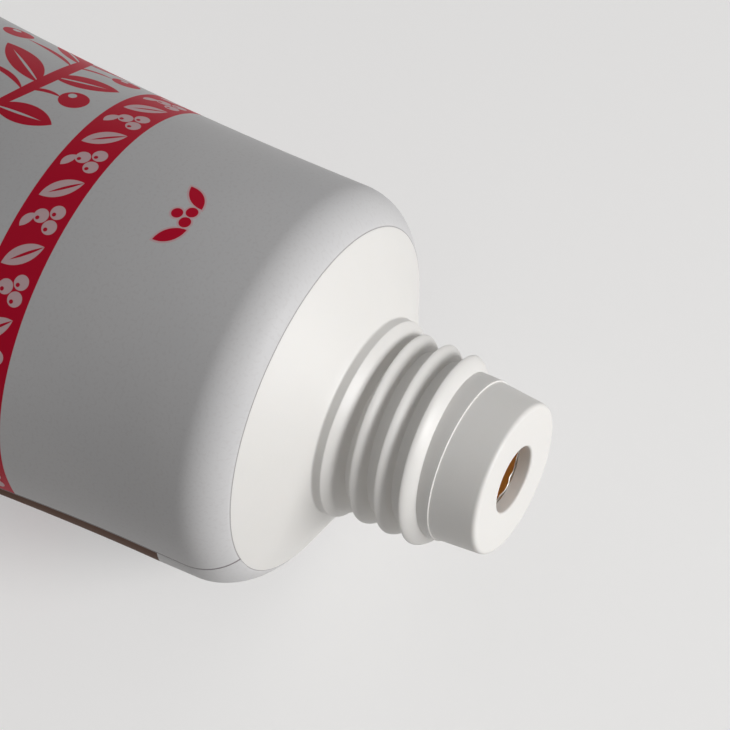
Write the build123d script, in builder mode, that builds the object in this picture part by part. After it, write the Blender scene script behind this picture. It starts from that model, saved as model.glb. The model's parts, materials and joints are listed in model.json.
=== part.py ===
from build123d import *
from math import atan, cos, pi, radians, sin, sqrt, tan
import os

# A hand cream tube, uncapped, lying on its back panel. All sizes are in millimetres.
# Places along the tube are measured from the parting line on its shoulder, mouth side positive.

# The printed laminate sleeve
body_radius = 17.5
sleeve_wall = 0.45
corner_radius = 4.46
shoulder_slope = 29.0
round_length = 4.1
taper_length = 80.0
taper_bulge = 1.85
seal_length = 7.0
seal_gap = 0.06
fin_inset = 0.05
weld_length = 2.0
crimp_pitch = 1.3
crimp_depth = 0.14
crimp_radius = 0.45
crimp_length = 6.2
crimp_margin = 0.7
taper_stations = 11

# The shoulder and neck moulding
shoulder_wall = 1.2
skirt_length = 3.0
base_ring_radius = 8.65
base_ring_width = 0.8
ring_flank = 0.75
neck_radius = 7.05
neck_bore_radius = 5.2
step_depth = 0.13
collar_length = 4.1
tip_radius = 6.6
end_wall = 1.2
orifice_radius = 2.9

# The screw thread, one right-handed ridge
thread_pitch = 2.28
thread_turns = 3.7
thread_height = 1.05
thread_start_angle = -113.0
thread_start_depth = 0.98
crest_width = 0.45
back_flank = 0.20
front_flank = 0.68
ridge_bite = 0.2
runout_turn = 60.0
runout_land = 0.35

# Edge rounds
ring_base_round = 0.25
ring_edge_round = 0.18
crest_round = 0.2
step_round = 0.06
tip_round = 0.45
orifice_round = 0.12

# The foil barrier liner and the cream
foil = 0.2
foil_hole_radius = 2.75
foil_margin = 0.42
cream_clearance = 0.1
cream_top = 9.0
cream_length = 53.0

# The place along the belly that touches the ground, which is under the centre of mass
rest_place = -31.3

# How far the soft wall gives there, so that it lies on a small flat patch
rest_flat = 0.25

# Shoulder: the sleeve turns over it in an arc that ends on the cone, at the parting line
slope = radians(shoulder_slope)
corner_place = -corner_radius * cos(slope)
corner_centre_radius = body_radius - corner_radius
rim_radius = corner_centre_radius + corner_radius * sin(slope)

# The liner stops short of the place where the shoulder's inner cone turns into its skirt
foil_skirt_radius = corner_centre_radius + (corner_radius - shoulder_wall) * sin(slope) - foil_margin

# Neck: each stretch starts where the one before it ends
ring_place = (rim_radius - base_ring_radius) * tan(slope)
ring_front = ring_place + base_ring_width
thread_start = ring_front - thread_start_depth
thread_length = thread_turns * thread_pitch
runout_length = thread_pitch * runout_turn / 360
ridge_reach = crest_width / 2 + front_flank
step_place = thread_start + thread_length + runout_length + ridge_reach + runout_land
tip_place = step_place + collar_length
end_wall_place = tip_place - end_wall

# The ridge across its length, along the neck and out from it, from its foot on the shoulder side
foot_spread = front_flank * ridge_bite / thread_height
ridge_outline = (
    (-crest_width / 2 - back_flank, -ridge_bite),
    (-crest_width / 2, thread_height),
    (crest_width / 2, thread_height),
    (crest_width / 2 + front_flank + foot_spread, -ridge_bite),
)
runout_shares = (0, 0.35, 0.7, 1)

# Tail: the taper starts behind a short round stretch and ends in the sealed fin
cavity_radius = body_radius - sleeve_wall
taper_place = corner_place - round_length
skirt_place = corner_place - skirt_length
seal_place = taper_place - taper_length
tail_place = seal_place - seal_length


def taper_share(place):
    """How far a place lies along the taper, from 0 at its start to 1 at the seal."""
    return (taper_place - place) / taper_length


def half_depth(place):
    """Half the depth of the cavity, which sinks from round to nearly nothing at the seal."""
    return cavity_radius - (cavity_radius - seal_gap) * taper_share(place) ** taper_bulge


def half_width(depth):
    """Half the width of the cavity, whose girth stays that of the round tube."""
    width = cavity_radius
    for _ in range(40):
        girth = pi * (3 * (width + depth) - sqrt((3 * width + depth) * (width + 3 * depth)))
        width += (2 * pi * cavity_radius - girth) / 5
    return width


def taper_places(length):
    """Evenly spread places along the taper, from its start over a length."""
    return [taper_place - length * i / (taper_stations - 1) for i in range(taper_stations)]


fin_half_width = half_width(seal_gap) + sleeve_wall - fin_inset

# The crimp's grooves lie across both faces of the fin, those below between those above
crimp_count = int(2 * (fin_half_width - crimp_margin) / crimp_pitch)
crimp_height = sleeve_wall + crimp_radius - crimp_depth

# The tube leans by the slope of its belly at the place that it rests on
belly_share = taper_share(rest_place) ** (taper_bulge - 1)
lean = atan((cavity_radius - seal_gap) * taper_bulge * belly_share / taper_length)
mouthward = Vector(cos(lean), 0, sin(lean))
tip_reach = tip_place * cos(lean) + (tip_radius - tip_round) * sin(lean)
tail_reach = tail_place * cos(lean) - sleeve_wall * sin(lean)
rim_height = (half_depth(rest_place) + sleeve_wall) * cos(lean) - rest_place * sin(lean) - rest_flat
rim_centre = Vector(-(tip_reach + tail_reach) / 2, 0, rim_height)

thread_angle = radians(thread_start_angle)
thread_side = Vector(-sin(lean) * cos(thread_angle), -sin(thread_angle), cos(lean) * cos(thread_angle))
thread_frame = Plane(rim_centre + mouthward * thread_start, thread_side, mouthward)

tube_axis = Axis(rim_centre, mouthward)
long_section = Plane(origin=rim_centre, x_dir=mouthward, z_dir=(0, -1, 0))


def across(place):
    """The plane across the tube at a place along it, with its y towards the front panel."""
    return Plane(origin=rim_centre + mouthward * place, x_dir=(0, 1, 0), z_dir=mouthward)


def cone_place(radius, depth=0):
    """The place at a radius on the shoulder cone, or at a depth below its outer face."""
    return (rim_radius - radius) * tan(slope) - depth / cos(slope)


def corner_point(radius, angle):
    """A point on an arc about the centre of the turned corner, its angle from the axis."""
    place = corner_place + radius * cos(radians(angle))
    return place, corner_centre_radius + radius * sin(radians(angle))


def corner_arc(radius):
    """The arc around the turned corner at a radius, from the side wall to the cone."""
    middle = (90 + shoulder_slope) / 2
    angles = (90, middle, shoulder_slope)
    return ThreePointArc(*(corner_point(radius, angle) for angle in angles))


def ridge_plane(turn, sink=0):
    """The plane across the thread ridge after a number of turns, sunk by a share of its height."""
    angle = 2 * pi * turn
    radius = neck_radius - sink**2 * (thread_height + crest_round / 2)
    centre = (radius * cos(angle), radius * sin(angle), thread_pitch * turn)
    ahead = (-2 * pi * radius * sin(angle), 2 * pi * radius * cos(angle), thread_pitch)
    return Plane(origin=centre, x_dir=(0, 0, 1), z_dir=ahead)


def round_corner(section, place, radius, size):
    """Round the corner of a section that lies nearest to a place and radius."""
    fillet(section.vertices().sort_by_distance((place, radius))[0], size)


with BuildPart() as tube_sleeve:
    # Outside: round end, turned over the shoulder, and body that flattens towards the tail
    with BuildSketch(long_section):
        with BuildLine():
            outer = corner_arc(corner_radius)
            inner = corner_arc(corner_radius - sleeve_wall)
            Polyline(
                outer @ 1,
                inner @ 1,
                ((inner @ 1).X, 0),
                (taper_place, 0),
                (taper_place, body_radius),
                outer @ 0,
            )
        make_face()
    revolve(axis=tube_axis)
    for station in taper_places(taper_length):
        with BuildSketch(across(station)):
            Ellipse(half_width(half_depth(station)) + sleeve_wall, half_depth(station) + sleeve_wall)
    loft()
    # Sealed fin, pressed a little below the body's end
    with BuildSketch(across(tail_place)):
        SlotOverall(2 * fin_half_width, 2 * sleeve_wall)
    extrude(amount=seal_length)
    with BuildSketch(across(tail_place)):
        with Locations((-crimp_pitch / 4, crimp_height), (crimp_pitch / 4, -crimp_height)):
            with GridLocations(crimp_pitch, crimp_pitch, crimp_count, 1):
                Circle(crimp_radius)
    extrude(amount=crimp_length, mode=Mode.SUBTRACT)
    # The patch that lies flat on the ground
    split(bisect_by=Plane.XY)
    # Cavity, which ends where the walls are welded to each other
    with BuildSketch(long_section):
        with BuildLine():
            inner = corner_arc(corner_radius - sleeve_wall)
            Polyline(
                inner @ 1,
                ((inner @ 1).X, 0),
                (taper_place, 0),
                (taper_place, cavity_radius),
                inner @ 0,
            )
        make_face()
    revolve(axis=tube_axis, mode=Mode.SUBTRACT)
    for station in taper_places(taper_length - weld_length):
        with BuildSketch(across(station)):
            Ellipse(half_width(half_depth(station)), half_depth(station))
    loft(mode=Mode.SUBTRACT)
tube_sleeve.part.label = "tube_sleeve"

with BuildPart() as thread_ridge:
    # The ridge winds about its own upright axis and ends in a short run-out that sinks into the neck
    with BuildLine() as winding:
        Helix(thread_pitch, thread_length, neck_radius)
    with BuildSketch(ridge_plane(0)) as ridge:
        with BuildLine():
            Polyline(*ridge_outline, close=True)
        make_face()
        round_corner(ridge, *ridge_outline[1], crest_round)
        round_corner(ridge, *ridge_outline[2], crest_round)
    sweep(path=winding.line, is_frenet=True)
    for share in runout_shares:
        with BuildSketch(ridge_plane(thread_turns + share * runout_turn / 360, share)) as ridge:
            with BuildLine():
                Polyline(*ridge_outline, close=True)
            make_face()
            round_corner(ridge, *ridge_outline[1], crest_round)
            round_corner(ridge, *ridge_outline[2], crest_round)
    loft()

with BuildPart() as shoulder_neck:
    # Outside: skirt under the sleeve, seat of the sleeve's cut edge, cone, base ring, neck and collar
    with BuildSketch(long_section) as section:
        with BuildLine():
            under_sleeve = corner_arc(corner_radius - sleeve_wall)
            Polyline(
                under_sleeve @ 1,
                (0, rim_radius),
                (ring_place, base_ring_radius),
                (ring_front, base_ring_radius),
                (ring_front + ring_flank, neck_radius),
                (step_place, neck_radius),
                (step_place, neck_radius - step_depth),
                (tip_place, tip_radius),
                (tip_place, 0),
                (skirt_place, 0),
                (skirt_place, cavity_radius),
                under_sleeve @ 0,
            )
        make_face()
        round_corner(section, ring_place, base_ring_radius, ring_base_round)
        round_corner(section, ring_front, base_ring_radius, ring_edge_round)
        round_corner(section, step_place, neck_radius, step_round)
        round_corner(section, step_place, neck_radius - step_depth, step_round)
        round_corner(section, tip_place, tip_radius, tip_round)
    revolve(axis=tube_axis)
    add(thread_frame.from_local_coords(thread_ridge.part))
    # Inside: skirt, cone and neck bore, closed by the end wall
    with BuildSketch(long_section):
        with BuildLine():
            inside = corner_arc(corner_radius - shoulder_wall)
            Polyline(
                inside @ 1,
                (cone_place(neck_bore_radius, shoulder_wall), neck_bore_radius),
                (end_wall_place, neck_bore_radius),
                (end_wall_place, 0),
                (skirt_place, 0),
                (skirt_place, (inside @ 0).Y),
                inside @ 0,
            )
        make_face()
    revolve(axis=tube_axis, mode=Mode.SUBTRACT)
    # Orifice
    with BuildSketch(across(tip_place)):
        Circle(orifice_radius)
    extrude(amount=-end_wall, mode=Mode.SUBTRACT)
    mouth = shoulder_neck.faces().sort_by(tube_axis)[-1]
    fillet(mouth.inner_wires()[0].edges(), orifice_round)
shoulder_neck.part.label = "shoulder_neck"

with BuildPart() as barrier_liner:
    with BuildSketch(long_section):
        with BuildLine():
            Polyline(
                (end_wall_place, foil_hole_radius),
                (end_wall_place, neck_bore_radius),
                (cone_place(neck_bore_radius, shoulder_wall), neck_bore_radius),
                (cone_place(foil_skirt_radius, shoulder_wall), foil_skirt_radius),
                (cone_place(foil_skirt_radius, shoulder_wall + foil), foil_skirt_radius),
                (cone_place(neck_bore_radius - foil, shoulder_wall + foil), neck_bore_radius - foil),
                (end_wall_place - foil, neck_bore_radius - foil),
                (end_wall_place - foil, foil_hole_radius),
                close=True,
            )
        make_face()
    revolve(axis=tube_axis)
barrier_liner.part.label = "barrier_liner"

with BuildPart() as cream_fill:
    cream_depth = shoulder_wall + foil + cream_clearance
    cream_neck_radius = neck_bore_radius - foil - cream_clearance
    cream_radius = cavity_radius - cream_clearance
    with BuildSketch(long_section):
        with BuildLine():
            edge = corner_arc(corner_radius - cream_depth)
            Polyline(
                edge @ 1,
                (cone_place(cream_neck_radius, cream_depth), cream_neck_radius),
                (cream_top, cream_neck_radius),
                (cream_top, 0),
                (taper_place, 0),
                (taper_place, cream_radius),
                (skirt_place - cream_clearance, cream_radius),
                (skirt_place - cream_clearance, (edge @ 0).Y),
                edge @ 0,
            )
        make_face()
    revolve(axis=tube_axis)
    for station in taper_places(cream_length):
        with BuildSketch(across(station)):
            Ellipse(
                half_width(half_depth(station)) - cream_clearance,
                half_depth(station) - cream_clearance,
            )
    loft()
cream_fill.part.label = "cream_fill"

os.makedirs("parts", exist_ok=True)
export_step(tube_sleeve.part, "parts/tube_sleeve.step")
export_step(shoulder_neck.part, "parts/shoulder_neck.step")
export_step(barrier_liner.part, "parts/barrier_liner.step")
export_step(cream_fill.part, "parts/cream_fill.step")
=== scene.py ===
import bisect
import json
import math
import random

import bpy
from mathutils import Matrix, Vector, noise


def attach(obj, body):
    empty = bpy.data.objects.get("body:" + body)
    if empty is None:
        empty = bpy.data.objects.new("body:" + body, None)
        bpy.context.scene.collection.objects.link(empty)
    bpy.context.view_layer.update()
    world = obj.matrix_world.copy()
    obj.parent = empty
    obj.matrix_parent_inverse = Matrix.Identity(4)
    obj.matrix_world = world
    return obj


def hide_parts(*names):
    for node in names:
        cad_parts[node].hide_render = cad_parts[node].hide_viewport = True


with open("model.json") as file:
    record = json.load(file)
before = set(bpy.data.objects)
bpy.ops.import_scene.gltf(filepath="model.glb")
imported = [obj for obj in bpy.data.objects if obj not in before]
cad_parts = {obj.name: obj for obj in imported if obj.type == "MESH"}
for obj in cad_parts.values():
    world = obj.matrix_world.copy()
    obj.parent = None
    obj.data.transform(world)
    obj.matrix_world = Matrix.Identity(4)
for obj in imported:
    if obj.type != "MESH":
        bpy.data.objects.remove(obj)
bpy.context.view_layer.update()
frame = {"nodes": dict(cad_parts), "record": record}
print("frame loaded:", ", ".join(sorted(frame["nodes"])))

# How the tube lies. Places along it count from the parting line on its shoulder, towards the mouth
orificePlace = 0.017023  # the middle of its bore
orifice = next(mount for mount in frame["record"]["mounts"] if mount["name"] == "orifice")
mouthward = Vector(orifice["axis"])
rimCentre = Vector(orifice["pos_m"]) - mouthward * orificePlace
placement = Matrix.Translation(rimCentre) @ Matrix.Rotation(-math.asin(mouthward.z), 4, "Y")

# The camera looks at the neck from above, as the photograph does
camera = {
    "place": (0.124170, -0.174608, 0.324849),
    "turnDegrees": (32.908, -3.0167, 30.1044),
    "lens": 216.986,
    "sensor": 36,
    "nearest": 0.01,
}


def clearSelection():
    if bpy.context.object and bpy.context.object.mode == "EDIT":
        bpy.ops.object.mode_set(mode="OBJECT")
    bpy.ops.object.select_all(action="DESELECT")


clearSelection()
bpy.ops.object.camera_add(
    location=camera["place"], rotation=[math.radians(angle) for angle in camera["turnDegrees"]]
)
view = bpy.context.object
view.data.lens = camera["lens"]
view.data.sensor_width = camera["sensor"]
view.data.clip_start = camera["nearest"]
bpy.context.scene.camera = view


def easeIn(share):
    # a smooth step from 0 to 1
    share = min(max(share, 0.0), 1.0)
    return share * share * (3 - 2 * share)


def spread(start, end, count):
    # the values from start to end, in this many equal steps
    return [start + (end - start) * i / count for i in range(count + 1)]


def layDown(piece):
    # from the tube's own straight pose to the pose it rests in, baked into the mesh
    clearSelection()
    piece.select_set(True)
    bpy.context.view_layer.objects.active = piece
    piece.matrix_world = placement
    bpy.ops.object.transform_apply(location=True, rotation=True, scale=True)


def startRing(name, ring, around, fill="NGON"):
    # a ring across the tube, ready in edit mode with all of it selected
    place, halfWidth, halfDepth = ring
    clearSelection()
    bpy.ops.mesh.primitive_circle_add(
        vertices=around, radius=1, fill_type=fill,
        location=(place, 0, 0), rotation=(math.pi / 2, 0, math.pi / 2),
    )
    piece = bpy.context.object
    piece.name = piece.data.name = name
    piece.scale = (halfWidth, halfDepth, 1)
    bpy.ops.object.transform_apply(location=True, rotation=True, scale=True)
    bpy.ops.object.mode_set(mode="EDIT")
    bpy.ops.mesh.select_mode(type="EDGE")
    bpy.ops.mesh.select_all(action="SELECT")
    return piece


def drawOut(rings):
    # each ring is drawn out of the one before it, then widened or narrowed to its own size
    for (place, width, depth), (nextPlace, nextWidth, nextDepth) in zip(rings, rings[1:]):
        bpy.ops.mesh.extrude_edges_move(TRANSFORM_OT_translate={"value": (nextPlace - place, 0, 0)})
        bpy.ops.transform.resize(
            value=(1, nextWidth / width, nextDepth / depth), center_override=(nextPlace, 0, 0)
        )


def closeRound(piece, rings, around):
    # joins the last ring to the first, so that the section closes on itself
    bpy.ops.object.mode_set(mode="OBJECT")
    for edge in piece.data.edges:
        low, high = min(edge.vertices), max(edge.vertices)
        edge.select = high < around or low >= (len(rings) - 1) * around
    bpy.ops.object.mode_set(mode="EDIT")
    bpy.ops.mesh.bridge_edge_loops()


def smoothOver(piece, angle=35):
    bpy.ops.mesh.select_all(action="SELECT")
    bpy.ops.mesh.normals_make_consistent(inside=False)
    bpy.ops.object.mode_set(mode="OBJECT")
    piece.select_set(True)
    bpy.ops.object.shade_smooth_by_angle(angle=math.radians(angle))


# Materials are written as expressions: each value wraps a socket, and using it adds Math nodes
class Value:
    def __init__(self, finish, socket):
        self.finish, self.socket = finish, socket

    def math(self, operation, *values, clamp=False):
        settings = {"operation": operation, "use_clamp": clamp}
        return self.finish.node("Math", settings, dict(enumerate(values)))

    def __add__(self, other):
        return self.math("ADD", self, other)

    def __radd__(self, other):
        return self.math("ADD", other, self)

    def __sub__(self, other):
        return self.math("SUBTRACT", self, other)

    def __rsub__(self, other):
        return self.math("SUBTRACT", other, self)

    def __mul__(self, other):
        return self.math("MULTIPLY", self, other)

    def __rmul__(self, other):
        return self.math("MULTIPLY", other, self)

    def __truediv__(self, other):
        return self.math("DIVIDE", self, other)

    def __rtruediv__(self, other):
        return self.math("DIVIDE", other, self)

    def __neg__(self):
        return self.math("MULTIPLY", self, -1)

    def __abs__(self):
        return self.math("ABSOLUTE", self)

    def sign(self):
        return self.math("SIGN", self)

    def least(self, other):
        return self.math("MINIMUM", self, other)

    def most(self, other):
        return self.math("MAXIMUM", self, other)

    def repeat(self, length):
        return self.math("FLOORED_MODULO", self, length)

    def below(self, edge, blur):
        # 1 where the value lies below the edge, 0 above it, blurred over a width
        return self.math("ADD", (edge - self) / blur, 0.5, clamp=True)

    def distanceTo(self, centre):
        settings = {"operation": "DISTANCE"}
        return self.finish.node("VectorMath", settings, {0: self, 1: (*centre, 0)}, output="Value")


class Finish:
    def __init__(self, name, tree=None):
        if tree is None:
            self.material = bpy.data.materials.new(name)
            self.material.use_nodes = True
            tree = self.material.node_tree
        self.nodes, self.links = tree.nodes, tree.links
        self.shader = self.nodes.get("Principled BSDF")

    def node(self, kind, settings=None, values=None, output=0):
        made = self.nodes.new("ShaderNode" + kind)
        for key, setting in (settings or {}).items():
            setattr(made, key, setting)
        for key, value in (values or {}).items():
            self.put(made.inputs[key], value)
        return Value(self, made.outputs[output])

    def put(self, socket, value):
        if isinstance(value, Value):
            self.links.new(value.socket, socket)
        else:
            socket.default_value = value

    def surface(self, values):
        for key, value in values.items():
            self.put(self.shader.inputs[key], value)

    def blend(self, share, first, second):
        values = {0: share, 6: first, 7: second}
        return self.node("Mix", {"data_type": "RGBA"}, values, output=2)

    def objectPlace(self):
        return self.node("TexCoord", output="Object")

    def grain(self, where, size, detail=2.0, rough=0.5):
        # a noise whose patches are about this size
        values = {"Vector": where, "Scale": 1 / size, "Detail": detail, "Roughness": rough}
        return self.node("TexNoise", {}, values)

    def bump(self, height, depth, under=None):
        values = {"Height": height, "Distance": depth, "Strength": 1.0}
        if under:
            values["Normal"] = under
        return self.node("Bump", {}, values)

    def dress(self, piece):
        piece.data.materials.clear()
        piece.data.materials.append(self.material)


# The printed laminate sleeve, with its lap seam and its crimped tail
sleeve = {
    "around": 768,
    "radius": 0.0175,
    "wall": 0.00045,
    "cornerRadius": 0.00446,
    "shoulderSlope": math.radians(29),
    "roundLength": 0.0041,
    "taperLength": 0.080,
    "taperBulge": 1.85,
    "sealGap": 0.00006,
    "sealLength": 0.007,
    "finInset": 0.00005,
    "finCorner": 0.00006,
    "finRise": 0.0001,  # how soon the body rises out of the fin
    "weldLength": 0.002,
    "edgeRound": 0.00003,
    "edgeMiddle": (0.25, 0.3),  # how far in and along the ring halfway round the cut edge lies
    "finRings": 2,
    "fadeRings": 4,
    "bodyRings": 40,
    "cornerRings": 13,
    "hollowRings": 24,
    "fullLength": 0.004,
    "fullness": 8,
    "ribPitch": 0.0013,
    "ribDepth": 0.0001,
    "ribFade": 0.0008,
    "lapColumn": 228,
    "lapEdge": 0.1,  # how far past its column the lap ends, in columns
    "lapStep": 0.15,  # how far past the lap's edge the step has fallen, in columns
    "lapWidth": 0.0032,
    "lapDepth": 0.00012,
    "lapFade": 0.006,
    "bulge": 0.0003,
    "bulgeMiddle": 0.0045,
    "bulgeReach": 0.0075,
    "bulgeTailFade": 0.03,
    "bulgeMouthFade": 0.006,
    "dentStart": -0.028,
    "dentLength": 0.055,
    "dentDepth": 0.0002,
    "dentSize": 0.016,
}
frontShare = 0.25  # the front's middle, as a share of the girth from the side
girth = 2 * math.pi * sleeve["radius"]
cavityRadius = sleeve["radius"] - sleeve["wall"]
cornerPlace = -sleeve["cornerRadius"] * math.cos(sleeve["shoulderSlope"])
cornerCentre = sleeve["radius"] - sleeve["cornerRadius"]
rimRadius = cornerCentre + sleeve["cornerRadius"] * math.sin(sleeve["shoulderSlope"])
taperPlace = cornerPlace - sleeve["roundLength"]
sealPlace = taperPlace - sleeve["taperLength"]
tailPlace = sealPlace - sleeve["sealLength"]


def halfDepth(place):
    share = max(0.0, (taperPlace - place) / sleeve["taperLength"])
    return cavityRadius - (cavityRadius - sleeve["sealGap"]) * share ** sleeve["taperBulge"]


def halfWidth(depth, tries=40):
    # the girth stays that of the round tube; it grows 3 to 4 times as fast as the half width
    width = cavityRadius
    for _ in range(tries):
        around = math.pi * (3 * (width + depth) - math.sqrt((3 * width + depth) * (width + 3 * depth)))
        width += (2 * math.pi * cavityRadius - around) / 5
    return width


def bodyRing(place, wall):
    depth = halfDepth(place)
    return place, halfWidth(depth) + wall, depth + wall


def cornerRing(radius, turn):
    reach = cornerCentre + radius * math.sin(turn)
    return cornerPlace + radius * math.cos(turn), reach, reach


def finRings():
    width = halfWidth(sleeve["sealGap"]) + sleeve["wall"] - sleeve["finInset"]
    corner, fadeStart = sleeve["finCorner"], sealPlace - sleeve["ribFade"]
    places = [tailPlace, tailPlace + corner]
    places += spread(tailPlace + 2 * corner, fadeStart, sleeve["finRings"])
    places += spread(fadeStart, sealPlace, sleeve["fadeRings"])[1:]
    rings = [(place, width, sleeve["wall"]) for place in places]
    rings[0] = (tailPlace, width - corner, sleeve["wall"] - corner)
    return rings


def sleeveRings():
    wall, edge, slope = sleeve["wall"], sleeve["edgeRound"], sleeve["shoulderSlope"]
    corner, cornerRings = sleeve["cornerRadius"], sleeve["cornerRings"]
    body = [bodyRing(place, wall) for place in spread(sealPlace, taperPlace, sleeve["bodyRings"])]
    body[0] = (sealPlace + sleeve["finRise"], *body[0][1:])
    turns = spread(math.pi / 2, slope + edge / corner, cornerRings)
    outside = [cornerRing(corner, turn) for turn in turns]
    inwards, along = sleeve["edgeMiddle"]
    outside.append(cornerRing(corner - inwards * edge, slope + along * edge / corner))
    outside.append(cornerRing(corner - edge, slope))
    inside = [cornerRing(corner - wall, turn) for turn in spread(slope, math.pi / 2, cornerRings)]
    weldPlace = sealPlace + sleeve["weldLength"]
    hollow = [bodyRing(place, 0) for place in spread(taperPlace, weldPlace, sleeve["hollowRings"])]
    outer = finRings() + body + outside
    return outer + inside + hollow, len(outer)


def girthTable(width, depth, steps=64):
    # how the length grows along a quarter of the ellipse, from its side to its top
    turns = spread(0, math.pi / 2, steps)
    spots = [(width * math.cos(turn), depth * math.sin(turn)) for turn in turns]
    lengths = [0.0]
    for first, second in zip(spots, spots[1:]):
        lengths.append(lengths[-1] + math.dist(first, second))
    return turns, [length / lengths[-1] for length in lengths]


def turnAt(table, share):
    # the turn at a share of the girth, from the side over the front panel
    quarter, within = divmod(share % 1 * 4, 1)
    mirrored = quarter % 2 == 1
    if mirrored:
        within = 1 - within
    turns, lengths = table
    spot = min(bisect.bisect_right(lengths, within), len(lengths) - 1)
    part = (within - lengths[spot - 1]) / (lengths[spot] - lengths[spot - 1])
    turn = turns[spot - 1] + (turns[spot] - turns[spot - 1]) * part
    return quarter * math.pi / 2 + (math.pi / 2 - turn if mirrored else turn)


def formsAt(place, lapped):
    # how far the soft forms have grown at a place along the tube
    full = 2 + sleeve["fullness"] * easeIn((sealPlace + sleeve["fullLength"] - place) / sleeve["fullLength"])
    ribs = easeIn((sealPlace - place) / sleeve["ribFade"]) * sleeve["ribDepth"]
    lap = easeIn((place - sealPlace) / sleeve["lapFade"]) * sleeve["lapDepth"] if lapped else 0
    bulge = easeIn((place - sealPlace) / sleeve["bulgeTailFade"]) * easeIn(-place / sleeve["bulgeMouthFade"])
    bulge *= sleeve["bulge"]
    dent = easeIn((sleeve["dentStart"] - place) / sleeve["dentLength"]) * sleeve["dentDepth"]
    dent *= easeIn((place - sealPlace) / sleeve["fullLength"])
    return full, ribs, lap, bulge, dent


def sheetOffset(side, up, around):
    # how far over the flat sheet a column lies from the front's middle
    column = round(math.atan2(up, side) / (2 * math.pi) * around) % around
    return (column / around - frontShare + 0.5) % 1 * girth - girth / 2


def shapeSoftWall(piece, rings, around, lapRings=0):
    # spaces the columns evenly over the sheet, fills out the tail, and adds ribs, lap seam and soft dents
    lapGirth = (sleeve["lapColumn"] + sleeve["lapEdge"]) / sleeve["around"] * girth
    spacing = girth / around if lapRings else 0
    sheetPlaces = []
    for ringNumber, (place, width, depth) in enumerate(rings):
        table = girthTable(width, depth)
        full, ribs, lap, bulge, dent = formsAt(place, ringNumber < lapRings)
        for vertex in piece.data.vertices[ringNumber * around:(ringNumber + 1) * around]:
            offset = sheetOffset(vertex.co.y / width, vertex.co.z / depth, around)
            if 0 < offset - lapGirth < spacing:
                # the column past the lap moves up to its edge, which makes the step sharp
                offset = lapGirth + sleeve["lapStep"] * spacing
            beyond = offset - lapGirth
            fromBulge = abs(beyond - sleeve["bulgeMiddle"])
            turn = turnAt(table, offset / girth + frontShare)
            across, rise = math.cos(turn), math.sin(turn)
            flat = (1 - abs(across) ** full) ** (1 / full)
            spot = Vector((place, width * across, math.copysign(depth * flat, rise)))
            outward = Vector((0, across / width, rise / depth)).normalized()
            if lapRings and 0 < beyond < sleeve["lapWidth"]:
                spot -= outward * lap * (1 - beyond / sleeve["lapWidth"])
            if lapRings and fromBulge < sleeve["bulgeReach"]:
                spot += outward * bulge * easeIn(1 - fromBulge / sleeve["bulgeReach"])
            if dent:
                spot += outward * dent * noise.noise(Vector((place / sleeve["dentSize"], across, rise)))
            if ribs:
                edge = easeIn((width - abs(spot.y)) / sleeve["ribFade"])
                spot.z += ribs * edge * math.cos(2 * math.pi * spot.y / sleeve["ribPitch"])
            vertex.co = spot
            sheetPlaces.append((offset, -place))
    return sheetPlaces


def flattenBelly(piece, outerCount, lowest):
    # the soft wall gives where it lies on the ground
    for number, vertex in enumerate(piece.data.vertices):
        vertex.co.z = max(vertex.co.z, 0 if number < outerCount else lowest)


def mapSheet(piece, sheetPlaces):
    # the print's own coordinates, in millimetres over the flat sheet: across it from the front's
    # middle, and tailward from the parting line
    layer = piece.data.uv_layers.new(name="sheet")
    spots = []
    for polygon in piece.data.polygons:
        places = [sheetPlaces[number] for number in polygon.vertices]
        offsets = [place[0] for place in places]
        if len(offsets) == 4 and max(offsets) - min(offsets) > girth / 2:
            offsets = [offset + girth if offset < 0 else offset for offset in offsets]
        for offset, (_, tailward) in zip(offsets, places):
            spots += [1000 * offset, 1000 * tailward]
    layer.uv.foreach_set("vector", spots)


rings, outerRings = sleeveRings()
printedSleeve = startRing("printedSleeve", rings[0], sleeve["around"])
drawOut(rings)
bpy.ops.mesh.edge_face_add()
smoothOver(printedSleeve)
sheetPlaces = shapeSoftWall(printedSleeve, rings, sleeve["around"], outerRings)
mapSheet(printedSleeve, sheetPlaces)
layDown(printedSleeve)
flattenBelly(printedSleeve, outerRings * sleeve["around"], sleeve["wall"])
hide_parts("tube_sleeve")
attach(printedSleeve, "root")
print("sleeve modelled:", len(rings), "rings")

# The print, in millimetres over the flat sheet
ink = {
    "crimson": (0.58, 0.002, 0.028, 1),
    "palePink": (0.74, 0.52, 0.54, 1),
    "blur": 0.05,
    "bandLow": 20.3,
    "bandHigh": 24.8,
    "motifsRound": 17,
    "sprayMiddle": 36.0,
    "markMiddle": 11.9,
    "halo": 0.17,
    "ribWidth": 0.13,
    "ribShare": 0.8,
    "glintRadius": 0.28,
    "glintShift": (0.4, 0.35),
}


def circleThrough(start, end, rise):
    # the circle through two points whose arc rises to the left of the line between them, or to
    # the right where the rise is below 0
    length = math.dist(start, end)
    radius = (length ** 2 / 4 + rise ** 2) / (2 * abs(rise))
    drop = math.copysign(radius - abs(rise), rise)
    normal = ((start[1] - end[1]) / length, (end[0] - start[0]) / length)
    centre = [(start[i] + end[i]) / 2 - normal[i] * drop for i in range(2)]
    return centre, radius


def blade(spot, start, end, upper, lower):
    # the distance to a leaf or a curved stroke between two arcs with the same ends, below 0 inside it
    edges = []
    for rise, inside in ((upper, upper > 0), (lower, lower < 0)):
        centre, radius = circleThrough(start, end, rise)
        reach = spot.distanceTo(centre)
        edges.append(reach - radius if inside else radius - reach)
    return edges[0].most(edges[1])


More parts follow.
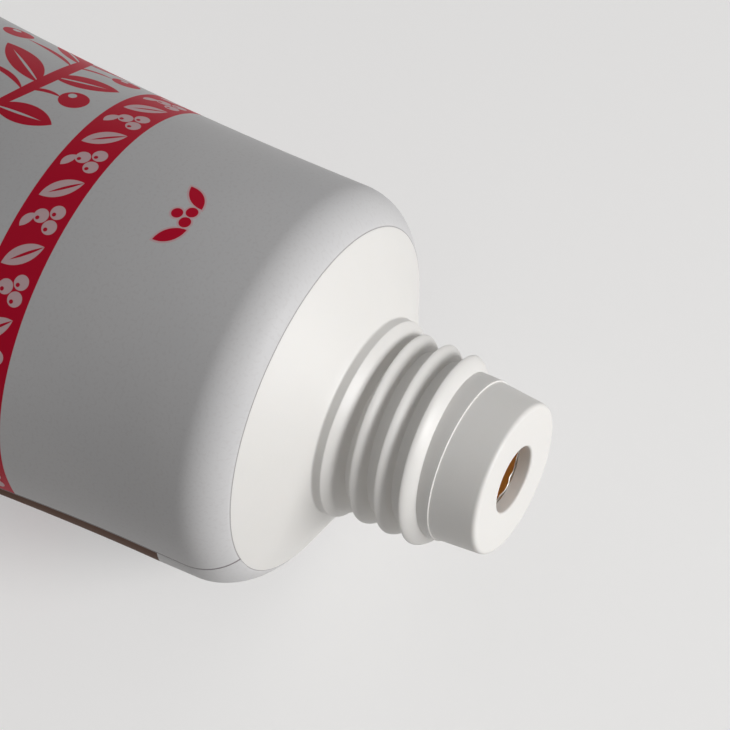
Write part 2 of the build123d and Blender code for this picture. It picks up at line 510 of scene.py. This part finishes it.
def leaf(spot, start, end, upper, lower):
    share, width = ink["ribShare"], ink["ribWidth"]
    ribEnd = [start[i] + (end[i] - start[i]) * share for i in range(2)]
    return blade(spot, start, end, upper, lower).most(-blade(spot, start, ribEnd, width, -width))


def berry(spot, centre, radius):
    glint = [centre[i] + ink["glintShift"][i] * radius for i in range(2)]
    body = spot.distanceTo(centre) - radius
    return body.most(ink["glintRadius"] * radius - spot.distanceTo(glint))


def joined(shapes):
    whole = shapes[0]
    for shape in shapes[1:]:
        whole = whole.least(shape)
    return whole


def sprayShape(spot):
    # half of a berry spray, which its other half repeats turned about the middle of the panel
    leaves = (
        ((2.4, -1.4), (6.6, 4.9), 1.25, -1.55),
        ((4.4, -2.6), (4.2, -8.6), 1.45, -1.15),
        ((9.0, -4.1), (14.0, 2.4), 1.25, -1.6),
        ((10.8, -4.4), (12.6, -10.0), 1.5, -1.2),
        ((15.8, -4.2), (21.6, 1.0), 1.2, -1.55),
        ((17.4, -3.8), (20.6, -8.8), 1.4, -1.1),
    )
    stalks = (
        ((7.2, -3.6), (9.4, 2.2), -0.35, -0.95),
        ((7.4, -3.7), (8.0, -7.0), 0.75, 0.25),
        ((14.0, -4.3), (16.9, 2.2), -0.35, -0.95),
        ((14.2, -4.4), (15.6, -7.6), 0.75, 0.25),
    )
    berries = (
        ((0, 0), 2.0), ((9.8, 3.6), 1.5), ((8.3, -8.1), 1.35), ((17.6, 3.5), 1.45),
        ((16.1, -8.7), 1.3), ((23.4, -1.2), 1.5), ((24.3, -4.2), 1.2),
    )
    stem = blade(spot, (0, 0), (22.6, -1.6), -3.0, -4.3)
    shapes = [stem] + [leaf(spot, *outline) for outline in leaves]
    shapes += [blade(spot, *outline) for outline in stalks]
    return joined(shapes + [berry(spot, *outline) for outline in berries])


def bandMotif(spot):
    # a tilted leaf beside three berries, small enough to stand inside the band
    shapes = [leaf(spot, (-2.75, -1.45), (-0.35, 1.5), 0.85, -0.75)]
    shapes += [berry(spot, centre, 0.66) for centre in ((0.6, -0.95), (2.05, -0.95), (1.32, 0.25))]
    shapes.append(blade(spot, (1.3, 0.8), (2.75, 1.55), 0.5, -0.3))
    return joined(shapes)


def smallMark(spot):
    # three berries between two leaves that lean out, of which one half is drawn and mirrored
    berries = (((0.56, -0.45), 0.52), ((0, 0.62), 0.5))
    shapes = [blade(spot, (1.15, -1.0), (3.05, 1.15), 0.55, -0.6)]
    return joined(shapes + [spot.distanceTo(centre) - radius for centre, radius in berries])


laminate = {
    "white": (0.700, 0.690, 0.690, 1),
    "cloud": (0.655, 0.652, 0.660, 1),
    "cloudSize": 9.0,
    "speck": (0.60, 0.58, 0.58, 1),
    "speckSize": 0.30,
    "speckEdge": 0.40,
    "speckBlur": 0.12,
    "speckShare": 0.28,
    # painted shade: a dark line where the lap's step and the rim's joint fall into shade, partly the cut
    # edge
    "line": (0.12, 0.09, 0.10, 1),
    "lineWidth": 0.32,
    "lineBlur": 0.03,
    "lineInk": 0.8,
    "rimLine": 0.045,
    "rimShade": 0.65,
    # the bare foil's dark brown is painted shade and painted reflection, darker than the foil itself
    "foil": (0.080, 0.028, 0.009, 1),
    "foilEnd": 6.85,
    "foilSlant": 0.2,
    "rough": 0.40,
    "roughSpread": 0.08,
    "inkRough": 0.44,
    "foilRough": 0.60,
    "gloss": 0.12,
    "ior": 1.48,
    "fineGrain": 0.00022,
    "fineDepth": 0.0000035,
    "softGrain": 0.006,
    "softDepth": 0.00003,
}


def laminateFinish():
    finish = Finish("printedLaminate")
    sheet = finish.node("UVMap", {"uv_map": "sheet"})
    offset = finish.node("SeparateXYZ", {}, {0: sheet}, output="X")
    tailward = finish.node("SeparateXYZ", {}, {0: sheet}, output="Y")

    def spotAt(across, along):
        return finish.node("CombineXYZ", {}, {0: across, 1: along})

    blur, period = ink["blur"], 1000 * girth / ink["motifsRound"]
    bandMiddle = (ink["bandLow"] + ink["bandHigh"]) / 2
    band = abs(tailward - bandMiddle).below((ink["bandHigh"] - ink["bandLow"]) / 2, blur)
    motifs = bandMotif(spotAt(offset.repeat(period) - period / 2, tailward - bandMiddle)).below(0, blur)
    turned = (tailward - ink["sprayMiddle"]) * -(offset.sign())
    spray = sprayShape(spotAt(abs(offset), turned)).below(0, blur)
    mark = smallMark(spotAt(abs(offset), tailward - ink["markMiddle"]))

    # the lap is bare foil from below the shoulder to the tail, painted dark brown as shade, and dark lines
    # of painted shade, partly the cut edges, edge the lap's step and the rim
    beyond = offset - 1000 * girth * sleeve["lapColumn"] / sleeve["around"]
    halfLap = 1000 * sleeve["lapWidth"] / 2
    strip = abs(beyond - halfLap).below(halfLap, blur)
    # the bare foil strip, whose dark brown colour is painted shade
    bare = strip * (laminate["foilEnd"] + beyond * laminate["foilSlant"] - tailward).below(0, blur)
    # painted shade along the top layer's edge at the lap's step, and a fainter line along the rim where the
    # sleeve meets the moulding; partly the cut edges
    line = abs(beyond + laminate["lineWidth"] / 3).below(laminate["lineWidth"] / 2, laminate["lineBlur"])
    line = line.most(tailward.below(laminate["rimLine"], laminate["lineBlur"]) * laminate["rimShade"])

    cloud = finish.grain(sheet, laminate["cloudSize"], 3.0)
    specks = finish.grain(sheet, laminate["speckSize"], 1.0)
    specks = specks.below(laminate["speckEdge"], laminate["speckBlur"])
    white = finish.blend(cloud, laminate["white"], laminate["cloud"])
    white = finish.blend(specks * laminate["speckShare"], white, laminate["speck"])
    colour = finish.blend(mark.below(ink["halo"], blur), white, ink["palePink"])
    printed = band.most(spray).most(mark.below(0, blur))
    colour = finish.blend(printed, colour, ink["crimson"])
    colour = finish.blend(band * motifs, colour, ink["palePink"])
    # painted shade: the bare foil strip turns dark brown
    colour = finish.blend(bare, colour, laminate["foil"])
    # painted shade: the dark edge lines at the lap's step and the rim
    colour = finish.blend(line * laminate["lineInk"], colour, laminate["line"])

    where = finish.objectPlace()
    rough = laminate["rough"] + printed * (laminate["inkRough"] - laminate["rough"])
    rough = rough + bare * (laminate["foilRough"] - laminate["rough"])
    rough = rough + (cloud - 0.5) * laminate["roughSpread"]
    soft = finish.bump(finish.grain(where, laminate["softGrain"], 2.0), laminate["softDepth"])
    fine = finish.bump(finish.grain(where, laminate["fineGrain"], 2.0), laminate["fineDepth"], soft)
    finish.surface({
        "Base Color": colour, "Roughness": rough, "Normal": fine,
        "Specular IOR Level": laminate["gloss"], "IOR": laminate["ior"],
    })
    return finish


laminateFinish().dress(printedSleeve)
print("sleeve printed")

# The white moulding: shoulder, thread and neck
moulding = {
    "white": (0.845, 0.825, 0.80, 1),
    "milky": (0.825, 0.81, 0.78, 1),
    "patch": 0.004,
    "rough": 0.42,
    "roughSpread": 0.1,
    "fineGrain": 0.00030,
    "fineDepth": 0.000004,
    "softGrain": 0.0035,
    "softDepth": 0.00002,
    "glow": 0.06,
    "glowDepth": 0.0016,
    "glowReach": (1.0, 0.85, 0.7),
    "ior": 1.5,
}


def mouldingFinish():
    finish = Finish("whiteMoulding")
    where = finish.objectPlace()
    patches = finish.grain(where, moulding["patch"], 3.0)
    colour = finish.blend(patches, moulding["white"], moulding["milky"])
    soft = finish.bump(finish.grain(where, moulding["softGrain"], 2.0), moulding["softDepth"])
    fine = finish.bump(finish.grain(where, moulding["fineGrain"], 3.0), moulding["fineDepth"], soft)
    finish.surface({
        "Base Color": colour, "Normal": fine, "IOR": moulding["ior"],
        "Roughness": moulding["rough"] + (patches - 0.5) * moulding["roughSpread"],
        "Subsurface Weight": moulding["glow"], "Subsurface Scale": moulding["glowDepth"],
        "Subsurface Radius": moulding["glowReach"],
    })
    return finish


neck = {
    "around": 256,
    "shoulderWall": 0.0012,
    "skirtLength": 0.003,
    "coneMargin": 0.0012,  # room for the round at the base ring's foot
    "ringRadius": 0.00865,
    "ringWidth": 0.0008,
    "ringFlank": 0.00140,
    "ringBaseRound": 0.00025,
    "ringEdgeRound": 0.00018,
    "radius": 0.00705,
    "bore": 0.0052,
    "stepPlace": 0.013523,
    "stepDepth": 0.00013,
    "stepRound": 0.00006,
    "tipPlace": 0.017623,
    "tipRadius": 0.0066,
    "tipRound": 0.00045,
    "endWall": 0.0012,
    "orificeRadius": 0.0029,
    "orificeRound": 0.00024,
    "roundSteps": 6,
    "cornerRings": 8,
    "coneRings": 6,
    "neckRings": 16,
    "boreRings": 8,
    "sliver": 0.000002,
    "creaseDegrees": 32,
}
thread = {
    "pitch": 0.00228,
    "start": 0.003452,
    "startTurn": math.radians(-113),
    "turns": 3.7,
    "runout": 1 / 6,
    "height": 0.00105,
    "rootDepth": 0.00025,
    "sinkMargin": 0.0001,
    "backFoot": -0.00037,
    "backCorner": -0.00015,
    "cornerRound": 0.00004,
    "cornerTurn": math.radians(165),
    "crestEnd": -0.00010,
    "frontFoot": 0.00094,
    "fullness": 1.6,
    "cornerSteps": 3,
    "frontSteps": 16,
    "rootSteps": 4,
    "stepsPerTurn": 120,
    "barStep": 0.0001,
}


def conePlace(radius, depth):
    # the place at a radius on a cone that lies this deep under the shoulder's outer face
    slope = sleeve["shoulderSlope"]
    return (rimRadius - radius) * math.tan(slope) - depth / math.cos(slope)


def bendThrough(before, corner, after, size):
    # a rounded corner between two straight lines, as a run of points
    sides = [Vector(before) - Vector(corner), Vector(after) - Vector(corner)]
    opening = sides[0].angle(sides[1])
    reach = size / math.tan(opening / 2)
    ends = [Vector(corner) + side.normalized() * reach for side in sides]
    points = []
    for share in spread(0, 1, neck["roundSteps"]):
        middle = Vector(corner) * 2 * share * (1 - share)
        points.append(ends[0] * (1 - share) ** 2 + middle + ends[1] * share ** 2)
    return [tuple(point) for point in points]


def followOutline(corners):
    # corners are place, radius and the size of their round
    outline = []
    for number, (place, radius, size) in enumerate(corners):
        if size:
            before, after = corners[number - 1][:2], corners[number + 1][:2]
            outline += bendThrough(before, (place, radius), after, size)
        else:
            outline.append((place, radius))
    return outline


def neckRings():
    wall, skirt = neck["shoulderWall"], cornerPlace - neck["skirtLength"]
    ringPlace = conePlace(neck["ringRadius"], 0)
    ringFront = ringPlace + neck["ringWidth"]
    ringFoot = ringFront + neck["ringFlank"]
    step, tip = neck["stepPlace"], neck["tipPlace"]
    wallBack, boreEnd = tip - neck["endWall"], conePlace(neck["bore"], wall)
    turns = spread(math.pi / 2, sleeve["shoulderSlope"], neck["cornerRings"])
    seat = [cornerRing(sleeve["cornerRadius"] - sleeve["wall"], turn)[:2] for turn in turns]
    under = [cornerRing(sleeve["cornerRadius"] - wall, turn)[:2] for turn in reversed(turns)]
    coneRadii = spread(rimRadius, neck["ringRadius"] + neck["coneMargin"], neck["coneRings"])
    cone = [(conePlace(radius, 0), radius) for radius in coneRadii]
    outline = [(skirt, cavityRadius)] + seat + cone + followOutline([
        (*cone[-1], 0),
        (ringPlace, neck["ringRadius"], neck["ringBaseRound"]),
        (ringFront, neck["ringRadius"], neck["ringEdgeRound"]),
        (ringFoot, neck["radius"], 0),
    ])[1:]
    outline += [(place, neck["radius"]) for place in spread(ringFoot, step, neck["neckRings"])[1:-1]]
    outline += followOutline([
        (*outline[-1], 0),
        (step, neck["radius"], neck["stepRound"]),
        (step, neck["radius"] - neck["stepDepth"], neck["stepRound"]),
        (tip, neck["tipRadius"], neck["tipRound"]),
        (tip, neck["orificeRadius"], neck["orificeRound"]),
        (wallBack, neck["orificeRadius"], 0),
        (wallBack, neck["bore"], 0),
    ])[1:]
    outline += [(place, neck["bore"]) for place in spread(wallBack, boreEnd, neck["boreRings"])[1:]]
    coneRadii = spread(neck["bore"], under[0][1], neck["coneRings"])[1:-1]
    outline += [(conePlace(radius, wall), radius) for radius in coneRadii]
    outline += under + [(skirt, under[-1][1])]
    return [(place, radius, radius) for place, radius in outline]


def ridgeOutline():
    # across the ridge: steep towards the shoulder, with a well rounded face towards the mouth
    height, root, corner = thread["height"], -thread["rootDepth"], thread["cornerRound"]
    back, crest, foot = thread["backFoot"], thread["crestEnd"], thread["frontFoot"]
    outline = [(back, root), (back, 0)]
    for turn in spread(thread["cornerTurn"], math.pi / 2, thread["cornerSteps"]):
        across = thread["backCorner"] + corner * (1 + math.cos(turn))
        outline.append((across, height - corner * (1 - math.sin(turn))))
    for share in spread(0, 1, thread["frontSteps"]):
        outline.append((crest + (foot - crest) * share, height * (1 - share ** thread["fullness"])))
    outline.append((foot, root))
    for share in spread(0, 1, thread["rootSteps"])[1:-1]:
        outline.append((foot + (back - foot) * share, root))
    return outline


def windRidge():
    # a straight bar is drawn out, then wound about the neck; its last part sinks into the neck
    outline = ridgeOutline()
    ridge = startRing("threadRidge", (0, thread["height"], thread["height"]), len(outline))
    for _ in range(round((thread["turns"] + thread["runout"]) * thread["stepsPerTurn"])):
        bpy.ops.mesh.extrude_edges_move(TRANSFORM_OT_translate={"value": (thread["barStep"], 0, 0)})
    bpy.ops.mesh.edge_face_add()
    bpy.ops.object.mode_set(mode="OBJECT")
    for number, vertex in enumerate(ridge.data.vertices):
        across, out = outline[number % len(outline)]
        turned = number // len(outline) / thread["stepsPerTurn"]
        sinking = max(0.0, (turned - thread["turns"]) / thread["runout"])
        radius = neck["radius"] + out - sinking ** 2 * (thread["height"] + thread["sinkMargin"])
        turn = thread["startTurn"] + 2 * math.pi * turned
        place = thread["start"] + thread["pitch"] * turned + across
        vertex.co = (place, -radius * math.sin(turn), radius * math.cos(turn))
    bpy.ops.object.mode_set(mode="EDIT")
    smoothOver(ridge)
    return ridge


ridge = windRidge()
rings = neckRings()
threadedNeck = startRing("threadedNeck", rings[0], neck["around"], fill="NOTHING")
drawOut(rings)
closeRound(threadedNeck, rings, neck["around"])
smoothOver(threadedNeck)
union = threadedNeck.modifiers.new("thread", "BOOLEAN")
union.operation = "UNION"
union.solver = "EXACT"
union.object = ridge
bpy.ops.object.modifier_apply(modifier="thread")
bpy.data.objects.remove(ridge)
bpy.ops.object.mode_set(mode="EDIT")
bpy.ops.mesh.select_all(action="SELECT")
bpy.ops.mesh.dissolve_degenerate(threshold=neck["sliver"])  # where the ridge and the neck nearly meet
bpy.ops.object.mode_set(mode="OBJECT")
bpy.ops.object.shade_smooth_by_angle(angle=math.radians(neck["creaseDegrees"]))
layDown(threadedNeck)
mouldingFinish().dress(threadedNeck)
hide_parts("shoulder_neck")
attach(threadedNeck, "root")
print("shoulder and threaded neck moulded")

# The foil liner under the shoulder and in the neck, torn open at the orifice
liner = {
    "around": 256,
    "foil": 0.0002,
    "clearance": 0.00002,
    "holeRadius": 0.00288,
    "rimThickness": 0.00005,
    "cornerRound": 0.00025,
    "cornerBend": 0.3,
    "throatInset": 0.001,
    "skirtMargin": 0.00042,
    "discRings": 12,
    "throatRings": 24,
    "skirtRings": 12,
    "backRings": 10,
    "tearDepth": 0.00006,
    "tearBend": 0.00022,
    "tearReach": 0.0006,
    "tearBehind": 0.0005,
    "teeth": 31,
    "toothDepths": (-0.2, 1.0),
    "toothBends": (-0.3, 1.0),
    "creaseDepth": 0.00005,
    "creaseSize": 0.0009,
    "creaseCap": 0.3,
    "seed": 7,
    "creaseDegrees": 50,
    "lacquer": (1.0, 0.66, 0.22, 1),
    "dark": (0.88, 0.50, 0.14, 1),
    "patch": 0.0016,
    "bare": (0.92, 0.90, 0.86, 1),
    "bareWidth": 0.0003,
    "bareEdge": 0.45,
    "bareBlur": 0.2,
    "metal": 0.1,
    "bareMetal": 0.8,
    "rough": 0.42,
    "roughSpread": 0.2,
    "foldGrain": 0.0007,
    "foldDepth": 0.00008,
    "fineGrain": 0.00015,
    "fineDepth": 0.00001,
}


def linerRings():
    clear, foil, wall, bore = liner["clearance"], liner["foil"], neck["shoulderWall"], neck["bore"]
    top, hole, corner = neck["tipPlace"] - neck["endWall"], liner["holeRadius"], liner["cornerRound"]
    bend, throatTop = corner * liner["cornerBend"], top - liner["throatInset"]
    skirtRadius = cornerCentre + (sleeve["cornerRadius"] - wall) * math.sin(sleeve["shoulderSlope"])
    skirtRadius -= liner["skirtMargin"]
    outer, inner = bore - clear, bore - foil
    disc = spread(hole, outer - corner, liner["discRings"])
    throat = spread(throatTop, conePlace(outer, wall + clear), liner["throatRings"])
    skirt = spread(outer, skirtRadius, liner["skirtRings"])[1:]
    out = [(top - clear, radius) for radius in disc]
    out += [(top - clear - bend, outer - bend), (top - clear - corner, outer)]
    out += [(place, outer) for place in throat]
    out += [(conePlace(radius, wall + clear), radius) for radius in skirt]
    disc = spread(inner - corner, hole + liner["bareWidth"], liner["backRings"])
    throat = spread(conePlace(inner, wall + foil), throatTop, liner["throatRings"])[1:]
    skirt = spread(skirtRadius, inner, liner["skirtRings"])
    back = [(conePlace(radius, wall + foil), radius) for radius in skirt]
    back += [(place, inner) for place in throat]
    back += [(top - foil - corner, inner), (top - foil - bend, inner - bend)]
    back += [(top - foil, radius) for radius in disc]
    back.append((top - clear - liner["rimThickness"], hole))
    return [(place, radius, radius) for place, radius in out + back]


def tearFoil(piece, rings):
    # a ragged hole whose teeth bend inwards, and creases over the rest
    draw = random.Random(liner["seed"])
    around, count, hole = liner["around"], liner["teeth"], liner["holeRadius"]
    teeth = [(draw.uniform(*liner["toothDepths"]), draw.uniform(*liner["toothBends"])) for _ in range(count)]
    cap, creaseDepth = liner["creaseCap"], liner["creaseDepth"]
    discBack = neck["tipPlace"] - neck["endWall"] - liner["tearBehind"]
    torn = piece.data.attributes.new(name="torn", type="FLOAT", domain="POINT")
    for number, vertex in enumerate(piece.data.vertices):
        place, radius = rings[number // around][:2]
        angle = math.atan2(vertex.co.z, vertex.co.y)
        along = (angle / (2 * math.pi) % 1) * count
        tooth, part = int(along) % count, along % 1
        (depth, bend), (nextDepth, nextBend) = teeth[tooth], teeth[(tooth + 1) % count]
        depth += (nextDepth - depth) * part
        bend += (nextBend - bend) * part
        side = Vector((0, math.cos(angle), math.sin(angle)))
        onDisc = place > discBack
        near = easeIn(1 - (radius - hole) / liner["tearReach"]) if onDisc else 0
        crease = noise.noise(Vector((place, radius * side.y, radius * side.z)) / liner["creaseSize"])
        grown = radius - near * liner["tearDepth"] * depth
        if number // around > liner["discRings"]:
            grown += min(crease, cap) * creaseDepth - cap * creaseDepth
        shifted = place - near * liner["tearBend"] * max(bend, 0) - abs(crease) * near * creaseDepth
        vertex.co = side * grown + Vector((shifted, 0, 0))
        torn.data[number].value = 1.0 if onDisc and radius - hole < liner["bareWidth"] else 0.0


def linerFinish():
    finish = Finish("lacqueredFoil")
    where = finish.objectPlace()
    torn = finish.node("Attribute", {"attribute_name": "torn"}, output="Fac")
    patches = finish.grain(where, liner["patch"], 4.0)
    colour = finish.blend(patches, liner["lacquer"], liner["dark"])
    edge = (1 - torn).below(liner["bareEdge"], liner["bareBlur"])
    colour = finish.blend(edge, colour, liner["bare"])
    folds = finish.bump(finish.grain(where, liner["foldGrain"], 5.0, 0.6), liner["foldDepth"])
    fine = finish.bump(finish.grain(where, liner["fineGrain"], 3.0), liner["fineDepth"], folds)
    finish.surface({
        "Base Color": colour, "Normal": fine,
        "Metallic": liner["metal"] + edge * (liner["bareMetal"] - liner["metal"]),
        "Roughness": liner["rough"] + (patches - 0.5) * liner["roughSpread"],
    })
    return finish


rings = linerRings()
tornLiner = startRing("tornLiner", rings[0], liner["around"], fill="NOTHING")
drawOut(rings)
closeRound(tornLiner, rings, liner["around"])
smoothOver(tornLiner, liner["creaseDegrees"])
tearFoil(tornLiner, rings)
layDown(tornLiner)
linerFinish().dress(tornLiner)
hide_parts("barrier_liner")
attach(tornLiner, "root")
print("liner torn open")

# The cream, which ends in a soft peak inside the neck
cream = {
    "around": 256,
    "clearance": 0.0001,
    "top": 0.009,
    "peak": 0.0009,
    "peakRadius": 0.0013,
    "peakTip": 0.00012,
    "dish": 0.0005,
    "edgeRound": 0.0002,
    "edgeDepth": 0.0006,
    "skirtLength": 0.003,
    "skirtRound": 0.0001,
    "length": 0.053,
    "endRound": 0.0012,
    "topRings": 22,
    "throatRings": 6,
    "coneRings": 8,
    "cornerRings": 8,
    "bodyRings": 30,
    "endRings": 6,
    "swirlDepth": 0.00016,
    "swirlTurns": 2,
    "swirlFade": 0.001,
    "colour": (0.87, 0.82, 0.76, 1),
    "shade": (0.85, 0.79, 0.72, 1),
    "patch": 0.003,
    "softGrain": 0.0012,
    "softDepth": 0.00012,
    "rough": 0.24,
    "roughSpread": 0.1,
    "glow": 0.3,
    "glowDepth": 0.002,
    "glowReach": (1.0, 0.8, 0.6),
    "ior": 1.42,
}


def creamRings():
    clear, top, edge = cream["clearance"], cream["top"], cream["edgeRound"]
    depth = neck["shoulderWall"] + liner["foil"] + clear
    throat = neck["bore"] - liner["foil"] - clear
    outline = []
    for radius in spread(cream["peakTip"], throat - edge, cream["topRings"]):
        lift = cream["peak"] * math.exp(-(radius / cream["peakRadius"]) ** 2)
        outline.append((top + lift - cream["dish"] * (1 - (radius / throat) ** 2), radius))
    throatPlaces = spread(top - cream["edgeDepth"], conePlace(throat, depth), cream["throatRings"])
    outline += [(place, throat) for place in [top - edge] + throatPlaces]
    corner, slope = sleeve["cornerRadius"] - depth, sleeve["shoulderSlope"]
    arc = [cornerRing(corner, turn) for turn in spread(slope, math.pi / 2, cream["cornerRings"])]
    coneRadii = spread(throat, arc[0][1], cream["coneRings"])[1:-1]
    outline += [(conePlace(radius, depth), radius) for radius in coneRadii]
    skirt, bodyRadius = cornerPlace - cream["skirtLength"] - clear, cavityRadius - clear
    ledge = [
        (skirt, cornerCentre + corner),
        (skirt, bodyRadius - cream["skirtRound"]),
        (skirt - cream["skirtRound"], bodyRadius),
    ]
    rings = [(place, radius, radius) for place, radius in outline]
    rings += arc + [(place, radius, radius) for place, radius in ledge]
    bodyPlaces = spread(taperPlace, taperPlace - cream["length"], cream["bodyRings"])
    rings += [bodyRing(place, -clear) for place in bodyPlaces]
    place, width, thickness = rings[-1]
    for turn in spread(0, math.pi / 2, cream["endRings"])[1:]:
        back, shrink = cream["endRound"] * math.sin(turn), cream["endRound"] * (1 - math.cos(turn))
        rings.append((place - back, width - shrink, thickness - shrink))
    return rings


def creamFinish():
    finish = Finish("thickCream")
    where = finish.objectPlace()
    patches = finish.grain(where, cream["patch"], 2.0)
    colour = finish.blend(patches, cream["colour"], cream["shade"])
    soft = finish.bump(finish.grain(where, cream["softGrain"], 2.0), cream["softDepth"])
    finish.surface({
        "Base Color": colour, "Normal": soft, "IOR": cream["ior"],
        "Roughness": cream["rough"] + patches * cream["roughSpread"],
        "Subsurface Weight": cream["glow"], "Subsurface Scale": cream["glowDepth"],
        "Subsurface Radius": cream["glowReach"],
    })
    return finish


def swirlTop(piece, rings):
    # the soft spiral that squeezing and sucking back leaves on the surface
    around, throat = cream["around"], neck["bore"]
    for number, vertex in enumerate(piece.data.vertices):
        radius = rings[number // around][1]
        if number // around < cream["topRings"]:
            angle = math.atan2(vertex.co.z, vertex.co.y)
            wave = math.sin(angle + cream["swirlTurns"] * 2 * math.pi * radius / throat)
            fade = easeIn(radius / cream["swirlFade"]) * easeIn((throat - radius) / cream["swirlFade"])
            vertex.co.x += cream["swirlDepth"] * fade * wave


rings = creamRings()
softCream = startRing("softCream", rings[0], cream["around"])
drawOut(rings)
bpy.ops.mesh.edge_face_add()
smoothOver(softCream)
shapeSoftWall(softCream, rings, cream["around"])
swirlTop(softCream, rings)
layDown(softCream)
flattenBelly(softCream, 0, sleeve["wall"] + cream["clearance"])
creamFinish().dress(softCream)
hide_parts("cream_fill")
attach(softCream, "root")
print("cream filled in")

# Floor, lamps and air
studio = {
    "floorSize": 6.0,
    "floorColour": (0.60, 0.59, 0.58, 1),
    "floorShade": (0.57, 0.56, 0.55, 1),
    "floorPatch": 0.12,
    "floorRough": 0.85,
    "floorGloss": 0.2,
    "floorGlow": 0.40,
    "keyPlace": (0.63, 0.05, 0.29),
    "keyAim": (0.05, 0, 0.02),
    "keySize": 0.28,
    "keyPower": 3.45,
    "topPlace": (-0.15, -0.10, 0.75),
    "topAim": (0.0, 0.0, 0.01),
    "topSize": 0.9,
    "topPower": 0.62,
    "air": 0.15,
    "airColour": (1.0, 0.995, 0.99, 1),
    "backdrop": 0.86,
}


def softbox(name, place, aim, size, power):
    clearSelection()
    bpy.ops.object.light_add(type="AREA", location=place)
    lamp = bpy.context.object
    lamp.name = name
    lamp.data.size = size
    lamp.data.energy = power
    lamp.rotation_euler = (Vector(aim) - Vector(place)).to_track_quat("-Z", "Y").to_euler()
    lamp.visible_camera = False


def seenStraight(finish):
    # 1 where the camera, a reflection or glass looks at the backdrop, 0 where it lights the object
    kinds = ("Is Camera Ray", "Is Glossy Ray", "Is Transmission Ray")
    rays = [finish.node("LightPath", output=kind) for kind in kinds]
    return rays[0].most(rays[1]).most(rays[2])


def floorFinish():
    finish = Finish("paleFloor")
    patches = finish.grain(finish.objectPlace(), studio["floorPatch"], 3.0)
    colour = finish.blend(patches, studio["floorColour"], studio["floorShade"])
    finish.surface({
        "Base Color": colour, "Roughness": studio["floorRough"], "Specular IOR Level": studio["floorGloss"],
    })
    strength = seenStraight(finish) * studio["floorGlow"]
    glow = finish.node("Emission", {}, {"Color": (1, 1, 1, 1), "Strength": strength})
    both = finish.node("AddShader", {}, {0: Value(finish, finish.shader.outputs[0]), 1: glow})
    finish.put(finish.nodes["Material Output"].inputs["Surface"], both)
    return finish


clearSelection()
bpy.ops.mesh.primitive_plane_add(size=studio["floorSize"])
floor = bpy.context.object
floor.name = "floor"
floorFinish().dress(floor)
softbox("keySoftbox", studio["keyPlace"], studio["keyAim"], studio["keySize"], studio["keyPower"])
softbox("topSoftbox", studio["topPlace"], studio["topAim"], studio["topSize"], studio["topPower"])

world = bpy.data.worlds.new("studioAir")
bpy.context.scene.world = world
world.use_nodes = True
air = Finish("studioAir", world.node_tree)
background = world.node_tree.nodes["Background"]
background.inputs["Color"].default_value = studio["airColour"]
airStrength = studio["air"] + seenStraight(air) * (studio["backdrop"] - studio["air"])
air.put(background.inputs["Strength"], airStrength)
bpy.context.scene.view_settings.view_transform = "Standard"
print("studio ready")
